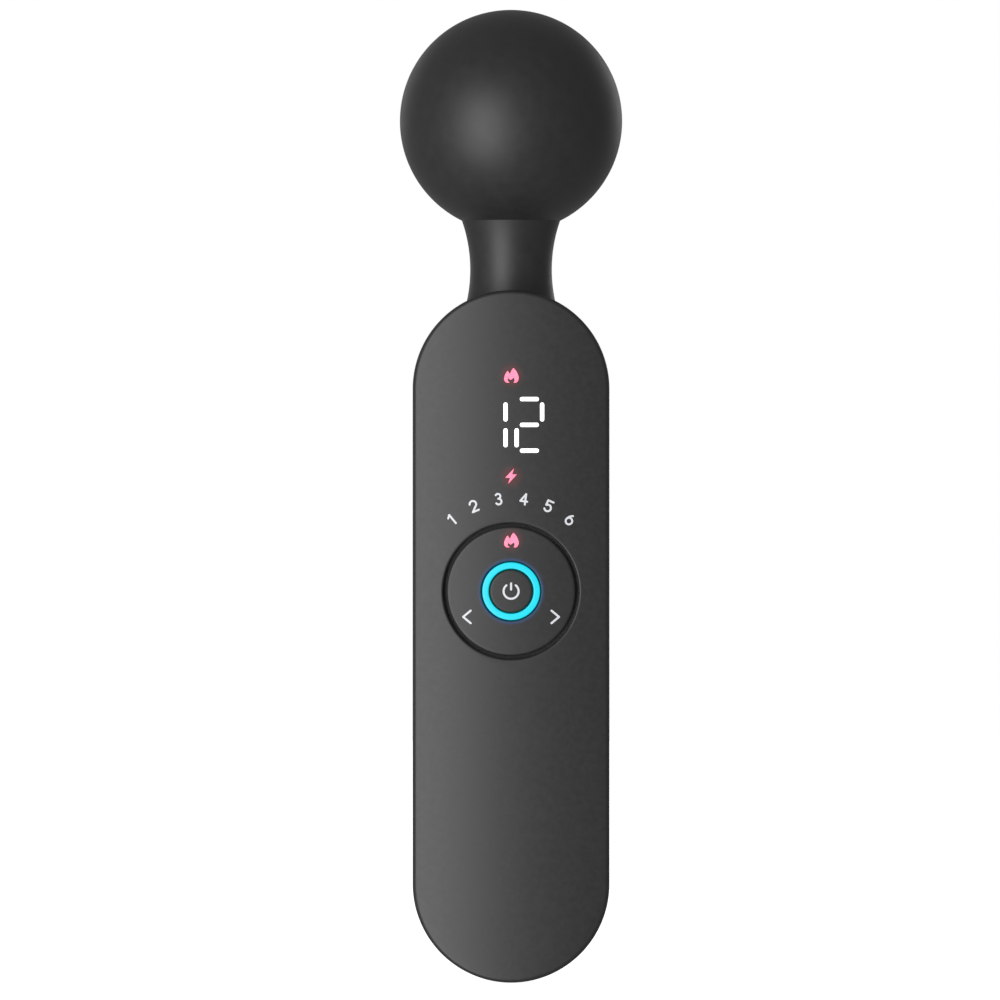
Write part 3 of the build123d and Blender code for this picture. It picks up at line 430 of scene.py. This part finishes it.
slots = {part["node"]: part["material_slot"] for part in frame["record"]["subparts"]}
for node, slot in slots.items():
    skin = frame["nodes"][node].data.materials
    skin.clear()
    skin.append(finish[slot])


def sign_centre(node, part=None):
    """Middle of a sign, (x, z); a node with two signs gives its upper or lower one."""
    low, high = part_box(node)
    middle = (low.z + high.z) / 2
    z = {None: middle, "upper": high.z - sign_half, "lower": low.z + sign_half}[part]
    return ((low.x + high.x) / 2, z)


add_halos(finish["soft_touch_panel"], [
    (sign_centre("status_windows", "upper"), *flame_light),
    (sign_centre("status_windows", "lower"), *bolt_light),
])
add_halos(finish["soft_touch_pad"], [
    (sign_centre("pad_flame"), *flame_light),
    ((0, pad_z), *ring_light),
])

# ---------------------------------------------------------------- pieces


def dress(piece, slot, body, *nodes, look=None):
    """Gives a piece its finish and its body, and hides the CAD nodes that it stands for."""
    piece.data.materials.append(finish[look or slot])
    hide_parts(*nodes)
    if body:
        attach(piece, body)


def cut(piece, cutter):
    """Takes the cutter's space out of the piece."""
    hole = piece.modifiers.new("hole", "BOOLEAN")
    hole.operation = "DIFFERENCE"
    hole.solver = "EXACT"
    hole.object = cutter
    bpy.context.view_layer.update()
    seen = piece.evaluated_get(bpy.context.evaluated_depsgraph_get())
    mesh = bpy.data.meshes.new_from_object(seen)
    piece.modifiers.clear()
    piece.data = mesh
    smooth(piece)


def front_shell():
    """Front shell: a grid whose columns run with the outline and whose rows go from the
    parting edge up the side, over the rounded edge, across the crowned face to the pad's
    opening, down its wall and back along the inside.

    On the face, place = shoulder (1 - s) + rim s, at the crown's height.
    """
    top = front_reach - sign_proud
    turn = np.radians(np.linspace(0, 90, 14))
    inset = face_round * (1 - np.cos(turn))
    rise = face_round * (1 - np.sin(turn))
    side = shell_rows(np.array([(seam_bevel, -face_skirt), (0, -face_skirt - seam_bevel)]))
    edge = shell_rows(np.stack([inset, np.zeros_like(inset)], -1))
    edge[..., 1] = -top + crown_drop(edge[..., 0]) + rise[:, None]
    shoulder = edge[-1]
    hole = pad_radius + pad_groove
    toward = shoulder[:, [0, 2]] - np.array([0, pad_z])
    toward /= np.linalg.norm(toward, axis=1)[:, None]

    def ring(radius, y):
        x = radius * toward[:, 0]
        z = pad_z + radius * toward[:, 1]
        return np.stack([x, y + np.zeros_like(x), z], -1)

    rim = ring(hole + pad_lip, 0.0)
    crowding = 0.8                   # draws the face's rows together towards the pad
    share = np.linspace(0, 1, 40)[1:-1, None, None] ** crowding
    face = shoulder[None] * (1 - share) + rim[None] * share
    face[..., 1] = -top + crown_drop(face[..., 0])
    lip = []
    for bend in np.radians(np.linspace(0, 90, 6)):
        step = ring(hole + pad_lip * (1 - np.sin(bend)), 0.0)
        step[:, 1] = -top + crown_drop(step[:, 0]) + pad_lip * (1 - np.cos(bend))
        lip.append(step)
    foot = ring(hole, -face_back)[None]
    pocket = shell_rows(np.array([(wall, -face_back), (wall, -face_skirt)]))
    grid = np.concatenate([side, edge, face, np.stack(lip), foot, pocket])
    return join_grid("front_shell", grid, wrap_rows=True)


def rear_shell():
    """Rear shell: profile of inset and depth carried round the outline. The outside goes
    from the parting edge down the side, round the back's edge and over the flat back to
    the middle line; the inside goes the same way a wall's thickness in.
    """
    def half(inset, rounding, depth, edge):
        bend = arc((inset + rounding, depth - rounding), rounding, 180, 90, 26)
        return np.concatenate([edge, bend, line((inset + rounding, depth), (half_width, depth), 10)[1:]])

    outside = half(0, back_round, back_reach, np.array([
        (seam_bevel, -back_skirt), (0, -back_skirt + seam_bevel), (0, 0),
    ]))
    inside = half(wall, back_round - wall, back_reach - wall, np.array([(wall, -back_skirt)]))
    profile = np.concatenate([outside[::-1], inside])
    grid = shell_rows(profile)
    return join_grid("rear_shell", grid)


def seal():
    """Seal between the shells: a square cord carried round the outline."""
    low, high = seal_inset
    profile = np.array([
        (low, -face_skirt), (low, -back_skirt), (high, -back_skirt), (high, -face_skirt),
    ])
    return join_grid("shell_seal", shell_rows(profile), wrap_rows=True)


def control_disc():
    """Pad: a ring-shaped disc with rounded edges, laid on the crown."""
    outer, inner = pad_radius, ring_outer + part_gap
    big, small = pad_edge, pad_hole_edge
    profile = np.concatenate([
        arc((inner + small, sign_proud + small), small, 180, 270, 6),
        line((inner + small, sign_proud), (outer - big, sign_proud), 24)[1:-1],
        arc((outer - big, sign_proud + big), big, 270, 360, 8),
        np.array([(outer, pad_depth), (inner, pad_depth)]),
    ])
    return turn_on_face("pad_disc", profile)


def glow_ring():
    """Light guide: a ring with a softly domed top, laid on the crown.

    Depth = dome (1 - sqrt(1 - s^4)), with s from -1 to 1 across the ring.
    """
    inner, outer = ring_inner, ring_outer
    share = np.linspace(-1, 1, 17)
    radius = (inner + outer) / 2 + share * (outer - inner) / 2
    depth = ring_dome * (1 - np.sqrt(np.clip(1 - share**4, 0, 1)))
    top = np.stack([radius, depth], -1)
    profile = np.concatenate([top, np.array([(outer, ring_depth), (inner, ring_depth)])])
    return turn_on_face("glow_ring", profile)


def power_disc():
    """Power button: a disc with a rounded edge, laid on the crown."""
    flat = button_radius - button_edge
    profile = np.concatenate([
        line((0, sign_proud), (flat, sign_proud), 10)[:-1],
        arc((flat, sign_proud + button_edge), button_edge, 270, 360, 7),
        np.array([(button_radius, button_depth), (0, button_depth)]),
    ])
    return turn_on_face("power_disc", profile)


def ball():
    """Head cover: a ball with a wall, open at the crease where the neck enters.

    Outer arc from the crease to the top, inner arc back down.
    """
    low = np.degrees(np.arcsin((crease_z - ball_z) / ball_radius))
    outer = arc((0, ball_z), ball_radius, low, 90, 120)
    hollow = ball_radius - ball_wall
    inner_low = np.degrees(np.arcsin((crease_z + ball_wall - ball_z) / hollow))
    inner = arc((0, ball_z), hollow, 90, inner_low, 60)
    rim = line(inner[-1], outer[0], 6)[1:-1]
    profile = np.concatenate([inner, rim, outer])
    return turn_about_z("ball_skin", profile)


def waist(z):
    """Radius of the neck at a height: waist + R - sqrt(R^2 - (z - waist height)^2)."""
    return waist_radius + waist_curve - np.sqrt(waist_curve**2 - (z - waist_z) ** 2)


def neck_skin(name, low, high):
    """Sleeve of the neck between two heights: the hourglass outside, the bore inside."""
    step = 0.25 * MM
    height = np.linspace(low, high, int((high - low) / step))
    foot = np.minimum(waist(height), shoulder_hole - shoulder_clearance)
    outer = np.stack([np.where(height < waist_z, foot, waist(height)), height], -1)
    inner = np.stack([np.full_like(height, sleeve_bore), height[::-1]], -1)
    return turn_about_z(name, np.concatenate([outer, inner]), around=192)


shoulder_cutter = turn_about_z("shoulder_cutter", np.array([
    (0, sleeve_low.z), (shoulder_hole, sleeve_low.z), (shoulder_hole, pivot_z), (0, pivot_z),
]), around=192)
nose_cutter = turn_about_z("nose_cutter", np.array([
    (0, nose_ends[0]), (nose_hole, nose_ends[0]), (nose_hole, nose_ends[1]), (0, nose_ends[1]),
]), around=64)

face = front_shell()
back = rear_shell()
gasket = seal()
for shell in (face, back, gasket):
    cut(shell, shoulder_cutter)
cut(back, nose_cutter)
for cutter in (shoulder_cutter, nose_cutter):
    bpy.data.objects.remove(cutter)
dress(face, "soft_touch_panel", "handle", "front_panel")
dress(back, "satin_housing", "handle", "rear_housing")
dress(gasket, "seal_rubber", "handle", "housing_gasket")
dress(control_disc(), "soft_touch_pad", "pad", "control_pad")
dress(glow_ring(), "cyan_light", "handle", "light_ring")
dress(power_disc(), "soft_touch_pad", "button", "power_button", look="button_top")
dress(ball(), "black_silicone", "head", "head_cover")

lower = neck_skin("neck_skin_lower", sleeve_low.z, pivot_z)
upper = neck_skin("neck_skin_upper", pivot_z, crease_z)
for half in (lower, upper):
    dress(half, "black_silicone", None, "neck_sleeve")
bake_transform(lower)
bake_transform(upper)

# ---------------------------------------------------------------- floor, light and camera

scene = bpy.context.scene
scene.view_settings.view_transform = "Standard"

floor_z = -0.2 * MM
floor_radius = 3.0
floor_grid = turn_about_z("floor", line((0, floor_z), (floor_radius, floor_z), 8), around=64)
paper = bpy.data.materials.new("floor_paper")
paper.use_nodes = True
paper_shader = paper.node_tree.nodes["Principled BSDF"]
paper_shader.inputs["Base Color"].default_value = (0.85, 0.85, 0.85, 1)
paper_shader.inputs["Roughness"].default_value = 0.9
paper_shader.inputs["Emission Color"].default_value = (1, 1, 1, 1)
paper_shader.inputs["Emission Strength"].default_value = 1.0
floor_grid.data.materials.append(paper)
floor_grid.visible_diffuse = False
floor_grid.visible_glossy = False
floor_grid.visible_shadow = False

world = bpy.data.worlds.new("studio")
scene.world = world
world.use_nodes = True
sky_nodes, sky_links = world.node_tree.nodes, world.node_tree.links
fill = sky_nodes["Background"]
fill.inputs["Color"].default_value = (1, 1, 1, 1)
fill.inputs["Strength"].default_value = 0.26
backdrop = sky_nodes.new("ShaderNodeBackground")
backdrop.inputs["Color"].default_value = (1, 1, 1, 1)
backdrop.inputs["Strength"].default_value = 1.0
seen_by = sky_nodes.new("ShaderNodeLightPath")
mix = sky_nodes.new("ShaderNodeMixShader")
sky_links.new(seen_by.outputs["Is Camera Ray"], mix.inputs["Fac"])
sky_links.new(fill.outputs["Background"], mix.inputs[1])
sky_links.new(backdrop.outputs["Background"], mix.inputs[2])
sky_links.new(mix.outputs["Shader"], sky_nodes["World Output"].inputs["Surface"])


light_centre = (0, 0, 110.0 * MM)


def soft_light(name, azimuth_deg, elevation_deg, distance, width, height, power):
    """Soft box aimed at the wand from a direction round it; metres and watts."""
    az, el = np.radians(azimuth_deg), np.radians(elevation_deg)
    away = np.array([np.sin(az) * np.cos(el), -np.cos(az) * np.cos(el), np.sin(el)])
    data = bpy.data.lights.new(name, "AREA")
    data.shape = "RECTANGLE"
    data.size = width
    data.size_y = height
    data.energy = power
    light = bpy.data.objects.new(name, data)
    scene.collection.objects.link(light)
    light.location = np.array(light_centre) + away * distance
    light.rotation_euler = (np.pi / 2 - el, 0, az)


# Azimuth and elevation, then distance, width, height and power.
soft_light("key", -29, -6, 2.0, 1.3, 2.2, 45)
soft_light("rim_left", -150, 10, 2.0, 0.8, 0.8, 1.2)
soft_light("rim_right", 150, 10, 2.0, 0.8, 0.8, 2.4)

view_distance = 3.0
view_width = 208.65 * MM
view_centre = (-2.3 * MM, 100.24 * MM)
eye = bpy.data.cameras.new("camera")
eye.sensor_width = 36
eye.lens = eye.sensor_width * view_distance / view_width
eye.clip_start = 0.05
eye.clip_end = 50
camera = bpy.data.objects.new("camera", eye)
scene.collection.objects.link(camera)
camera.location = (view_centre[0], -view_distance, view_centre[1])
camera.rotation_euler = (np.pi / 2, 0, 0)
scene.camera = camera
